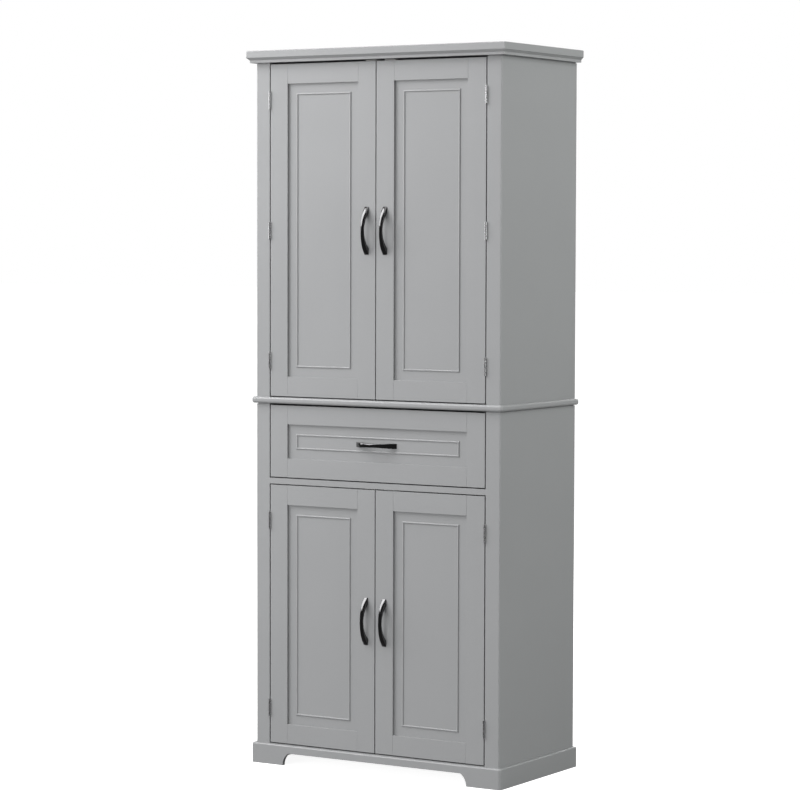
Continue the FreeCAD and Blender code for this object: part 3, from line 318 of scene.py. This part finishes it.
def finish_nodes():
    """Give every CAD node its finish and its eased edges."""
    for name, node in NODES.items():
        node.data.materials.clear()
        node.data.materials.append(FINISH[SLOT_OF[name]])
        width = eased(name)
        if width:
            clean(node)
            ease_edges(node, width)


finish_nodes()


# --------------------------------------------------------------------------
# Pieces that stand for CAD nodes
# --------------------------------------------------------------------------
def stand_in(shape, name, node):
    """Turn a bmesh into the piece that a CAD node is shown as."""
    bmesh.ops.recalc_face_normals(shape, faces=shape.faces)
    mesh = bpy.data.meshes.new(name)
    shape.to_mesh(mesh)
    shape.free()
    mesh.shade_smooth()
    mesh.set_sharp_from_angle(angle=SHARP)
    mesh.materials.append(FINISH[SLOT_OF[node]])
    piece = bpy.data.objects.new(name, mesh)
    bpy.context.scene.collection.objects.link(piece)
    flatten_shading(piece, keep_sharp=True)
    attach(piece, BODY_OF[node])
    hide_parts(node)


def skin(shape, rings):
    """Join rings of corners, all of one length, into a tube with closed ends."""
    loops = [[shape.verts.new(corner) for corner in ring] for ring in rings]
    count = len(loops[0])
    for first, second in zip(loops, loops[1:]):
        for index in range(count):
            after = (index + 1) % count
            shape.faces.new((first[index], first[after], second[after], second[index]))
    shape.faces.new(loops[0])
    shape.faces.new(loops[-1])


# how a framed face is put together
TONGUE = 8.0 * MM        # how far a panel runs into the groove of its frame
PANEL_THICK = 6.0 * MM
ARRIS = 0.5 * MM         # sanded edge of a board


def grooved_section(outer, inner, front, back, groove):
    """Outline across a frame board, as (across, y), with the groove on its inner side."""
    bottom = inner + math.copysign(TONGUE, outer - inner)
    return ((outer, front), (inner, front), (inner, groove[0]), (bottom, groove[0]),
            (bottom, groove[1]), (inner, groove[1]), (inner, back), (outer, back))


def framed_boards(frame_node, panel_node):
    """Two stiles and two rails with sanded edges, which meet in fine joint lines."""
    low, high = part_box(frame_node)
    panel_low, panel_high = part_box(panel_node)
    groove = (panel_high.y - PANEL_THICK, panel_high.y)
    left = panel_low.x + TONGUE
    right = panel_high.x - TONGUE
    bottom = panel_low.z + TONGUE
    top = panel_high.z - TONGUE
    shape = bmesh.new()
    for outer, inner in ((low.x, left), (high.x, right)):
        section = grooved_section(outer, inner, low.y, high.y, groove)
        skin(shape, [[(x, y, z) for x, y in section] for z in (low.z, high.z)])
    for outer, inner in ((low.z, bottom), (high.z, top)):
        section = grooved_section(outer, inner, low.y, high.y, groove)
        skin(shape, [[(x, y, z) for z, y in section] for x in (left, right)])
    faces = (low.y, high.y)
    outside = [edge for edge in shape.edges
               if all(min(abs(corner.co.y - face) for face in faces) < ARRIS
                      for corner in edge.verts)]
    bmesh.ops.bevel(shape, geom=outside, offset=ARRIS, segments=2, profile=0.5, affect="EDGES")
    stand_in(shape, frame_node.replace("frame", "boards"), frame_node)


# bow handles: the finger gap and the strap
HANDLE_GAP = 87.0 * MM       # length of the finger gap
HANDLE_INNER = 18.5 * MM     # its depth
HANDLE_TOE = 1.2 * MM        # thickness at the ends of the feet
HANDLE_WAIST = 9.0 * MM      # width at the middle
HANDLE_CROWN = 1.7 * MM      # how far the outer face is domed
CROWN_SHARE = 0.7            # the dome takes at most this share of the strap's thickness
FOOT_STEPS = 8
BOW_STEPS = 32
CROWN_STEPS = 10


def arc_height(half_chord, rise, at):
    """Height of a circle arc above its chord, at a distance from its middle."""
    if abs(at) >= half_chord:
        return 0.0
    radius = (half_chord ** 2 + rise ** 2) / (2 * rise)
    return math.sqrt(radius ** 2 - at ** 2) - radius + rise


def spaced(start, end, steps):
    """Evenly spaced numbers from start, without the end."""
    return [start + (end - start) * step / steps for step in range(steps)]


def strap_ring(along, half_long, out, wide):
    """Section of a bow handle as (across, out) at one place along it."""
    gap = HANDLE_GAP / 2
    outer = HANDLE_TOE + arc_height(half_long, out - HANDLE_TOE, along)
    inner = arc_height(gap, HANDLE_INNER, along)
    side = wide / 2 - arc_height(gap, (wide - HANDLE_WAIST) / 2, along)
    crown = min(HANDLE_CROWN, (outer - inner) * CROWN_SHARE)
    ring = [(-side, inner)]
    for turn in spaced(-math.pi / 2, math.pi / 2, CROWN_STEPS) + [math.pi / 2]:
        ring.append((side * math.sin(turn), outer - crown + crown * math.cos(turn)))
    ring.append((side, inner))
    return ring


def bow_handle(node):
    """A domed strap that bows out between two flared feet."""
    low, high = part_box(node)
    centre = (low + high) / 2
    upright = high.z - low.z > high.x - low.x
    half_long = max(high.z - low.z, high.x - low.x) / 2
    wide = min(high.z - low.z, high.x - low.x)
    half_gap = HANDLE_GAP / 2
    stations = (spaced(-half_long, -half_gap, FOOT_STEPS) + spaced(-half_gap, half_gap, BOW_STEPS)
                + spaced(half_gap, half_long, FOOT_STEPS) + [half_long])
    rings = []
    for along in stations:
        ring = strap_ring(along, half_long, high.y - low.y, wide)
        if upright:
            rings.append([(centre.x + across, high.y - out, centre.z + along) for across, out in ring])
        else:
            rings.append([(centre.x + along, high.y - out, centre.z + across) for across, out in ring])
    shape = bmesh.new()
    skin(shape, rings)
    stand_in(shape, node.replace("handle", "bow_handle"), node)


DOORS = ("upper_left_door", "upper_right_door", "lower_left_door", "lower_right_door")
for front in DOORS + ("drawer_front",):
    framed_boards(front + "_frame", front + "_panel")
for handle in [door + "_handle" for door in DOORS] + ["drawer_handle"]:
    bow_handle(handle)


# --------------------------------------------------------------------------
# Studio
# --------------------------------------------------------------------------
FLOOR_REACH = 60.0
FLOOR_GREY = 0.6
FLOOR_MOTTLE = 1.02
FLOOR_GLOW = 0.92        # lifts the floor to the white of the room
BOUNCE_GREY = 0.25
BOUNCE_LEVEL = -2.0 * MM
ROOM_LIGHT = 0.36
ROOM_IN_METAL = 0.12
FRONT_TINT = (1.0, 0.992, 1.0)
SIDE_TINT = (0.985, 1.0, 0.985)


def studio_plane(name, level, grey, glow):
    """A wide flat sheet of one pale or grey tone."""
    mesh = bpy.data.meshes.new(name)
    reach = FLOOR_REACH
    corners = [(-reach, -reach, level), (reach, -reach, level),
               (reach, reach, level), (-reach, reach, level)]
    mesh.from_pydata(corners, [], [(0, 1, 2, 3)])
    plane = bpy.data.objects.new(name, mesh)
    bpy.context.scene.collection.objects.link(plane)
    surface = Surface(name, Roughness=0.9, Specular_IOR_Level=0.1)
    surface.colour(surface.blend(surface.noise(0.7), shade(grey), shade(grey * FLOOR_MOTTLE)))
    surface.shader.inputs["Emission Color"].default_value = (1.0, 1.0, 1.0, 1.0)
    surface.shader.inputs["Emission Strength"].default_value = glow
    mesh.materials.append(surface.material)
    return plane


def studio_floor():
    """A pale floor that only the camera sees, and a grey one that only sends light back up."""
    floor = studio_plane("floor", 0.0, FLOOR_GREY, FLOOR_GLOW)
    floor.visible_diffuse = False
    floor.visible_glossy = False
    floor.visible_shadow = False
    bounce = studio_plane("bounce", BOUNCE_LEVEL, BOUNCE_GREY, 0.0)
    bounce.visible_camera = False
    bounce.visible_glossy = False


def softbox(name, spot, aim, size, watts, tint=(1.0, 1.0, 1.0), mirrored=True):
    """A rectangular light at spot that faces aim; size is (width, height).

    A light that isn't mirrored fills shadows but leaves no highlight on polished metal.
    """
    data = bpy.data.lights.new(name, "AREA")
    data.shape = "RECTANGLE"
    data.size = size[0]
    data.size_y = size[1]
    data.energy = watts
    data.color = tint
    light = bpy.data.objects.new(name, data)
    light.location = spot
    light.rotation_euler = (Vector(aim) - Vector(spot)).to_track_quat("-Z", "Y").to_euler()
    light.visible_glossy = mirrored
    light.visible_camera = False
    bpy.context.scene.collection.objects.link(light)


def room_tone(tree, strength):
    """A white background of one strength."""
    tone = tree.nodes.new("ShaderNodeBackground")
    tone.inputs["Color"].default_value = (1.0, 1.0, 1.0, 1.0)
    tone.inputs["Strength"].default_value = strength
    return tone.outputs[0]


def white_room(lighting, mirrored):
    """A surround that lights softly, looks dim in polished metal and shows as pure white."""
    world = bpy.data.worlds.new("room")
    world.use_nodes = True
    tree = world.node_tree
    path = tree.nodes.new("ShaderNodeLightPath")
    shown = room_tone(tree, lighting)
    for ray, strength in (("Is Glossy Ray", mirrored), ("Is Camera Ray", 1.0)):
        choose = tree.nodes.new("ShaderNodeMixShader")
        is_ray, otherwise, then = choose.inputs
        tree.links.new(path.outputs[ray], is_ray)
        tree.links.new(shown, otherwise)
        tree.links.new(room_tone(tree, strength), then)
        shown = choose.outputs[0]
    tree.links.new(shown, tree.nodes["World Output"].inputs["Surface"])
    bpy.context.scene.world = world


studio_floor()
white_room(ROOM_LIGHT, ROOM_IN_METAL)
softbox("key", spot=(-2.7, -2.1, 3.5), aim=(0.0, -0.1, 1.2), size=(2.0, 3.2),
        watts=178.0, tint=FRONT_TINT)
softbox("left_strip", spot=(-3.6, -0.95, 2.4), aim=(0.0, -0.2, 1.3), size=(0.8, 2.6),
        watts=34.0, tint=FRONT_TINT)
softbox("front_fill", spot=(-1.0, -5.0, 1.0), aim=(0.0, -0.1, 0.9), size=(3.0, 1.6),
        watts=128.0, tint=FRONT_TINT, mirrored=False)
softbox("overhead", spot=(-0.2, -1.1, 4.0), aim=(0.0, -0.6, 0.9), size=(2.4, 1.6),
        watts=30.0, tint=FRONT_TINT)
softbox("right_high", spot=(2.4, 0.1, 3.0), aim=(0.3, 0.0, 1.5), size=(1.4, 1.4),
        watts=29.0, tint=SIDE_TINT)
softbox("right_low", spot=(4.5, 0.3, 1.8), aim=(0.3, 0.0, 1.2), size=(2.0, 2.4),
        watts=84.0, tint=SIDE_TINT)
softbox("rear", spot=(-0.6, 4.6, 2.2), aim=(0.0, 0.2, 0.9), size=(3.0, 2.2), watts=110.0)


# --------------------------------------------------------------------------
# Camera
# --------------------------------------------------------------------------
CAMERA_SPOT = (3.9341, -6.3978, 1.3558)
CAMERA_YAW = math.radians(31.838)      # turned left from looking along +Y
CAMERA_PITCH = math.radians(3.149)     # tipped down
CAMERA_ROLL = math.radians(0.146)
SENSOR_WIDTH = 36.0                    # millimetres, as the lens
LENS = 131.99
FARTHEST = 200.0                       # metres that the camera sees


def camera():
    """A long lens to the right of the cabinet, a little above its middle."""
    ahead = Vector((-math.sin(CAMERA_YAW) * math.cos(CAMERA_PITCH),
                    math.cos(CAMERA_YAW) * math.cos(CAMERA_PITCH),
                    -math.sin(CAMERA_PITCH)))
    right = Vector((math.cos(CAMERA_YAW), math.sin(CAMERA_YAW), 0.0))
    up = right.cross(ahead)
    level = Matrix((right, up, -ahead)).transposed()
    turned = level @ Matrix.Rotation(CAMERA_ROLL, 3, "Z")
    data = bpy.data.cameras.new("camera")
    data.sensor_width = SENSOR_WIDTH
    data.lens = LENS
    data.clip_end = FARTHEST
    item = bpy.data.objects.new("camera", data)
    item.matrix_world = Matrix.Translation(CAMERA_SPOT) @ turned.to_4x4()
    bpy.context.scene.collection.objects.link(item)
    bpy.context.scene.camera = item


camera()
bpy.context.scene.view_settings.view_transform = "Standard"
